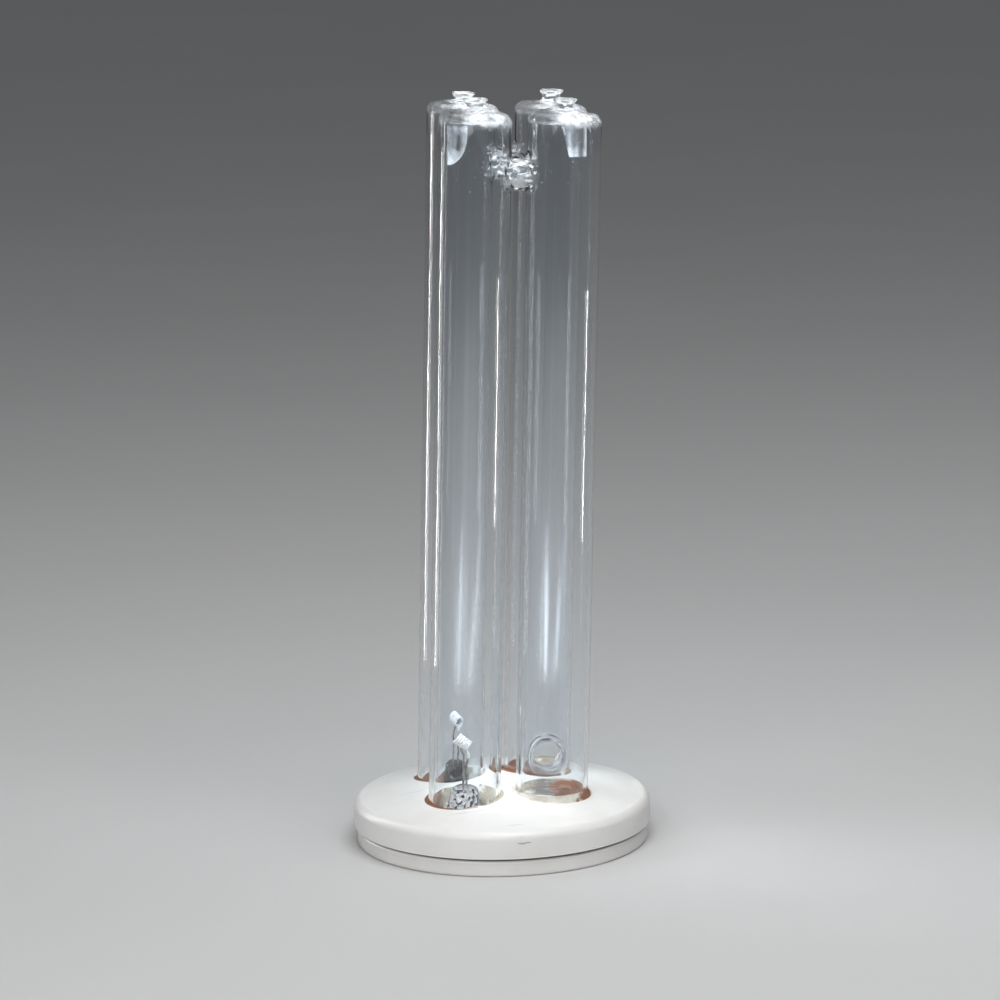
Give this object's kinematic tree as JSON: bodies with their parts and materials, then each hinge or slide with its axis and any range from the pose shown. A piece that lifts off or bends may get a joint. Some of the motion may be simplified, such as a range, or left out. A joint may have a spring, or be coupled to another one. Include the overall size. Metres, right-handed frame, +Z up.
{
  "type": "germicidal lamp",
  "caption": "Germicidal discharge lamp: clear quartz limbs joined by short bridges, coiled electrodes at their feet, cemented into a round white base with a screwed-on cover.",
  "frame": {"origin": "middle of the base's flat underside", "axes": "+Z up along the base's axis, -Y towards the front pair of limbs, +X towards the pair with closed feet, which is also the side that the glass leans to"},
  "size_m": [0.0786, 0.0786, 0.1982],
  "materials": {
    "quartz": "clear, fire-polished",
    "white_moulding": "satin white",
    "cement": "coarse, red-brown",
    "lead_wire": "drawn wire, dull",
    "oxide_coat": "white emitter powder",
    "tinned_copper": "bright tin",
    "zinc_plate": "zinc plated"
  },
  "bodies": {
    "root": {"quartz_envelope": "quartz", "cap": "white_moulding", "base_cover": "white_moulding", "cement_front_left": "cement", "cement_front_right": "cement", "cement_back_left": "cement", "cement_back_right": "cement", "stem_front_left": "quartz", "stem_back_left": "quartz", "cathode_front_left": "oxide_coat", "cathode_back_left": "oxide_coat", "lead_front_left_a": "lead_wire", "lead_front_left_b": "lead_wire", "lead_back_left_a": "lead_wire", "lead_back_left_b": "lead_wire", "crimp_front_left_a": "tinned_copper", "crimp_front_left_b": "tinned_copper", "crimp_back_left_a": "tinned_copper", "crimp_back_left_b": "tinned_copper", "cover_screw_1": "zinc_plate", "cover_screw_2": "zinc_plate", "cover_screw_3": "zinc_plate", "cover_screw_4": "zinc_plate"}
  },
  "joints": []
}
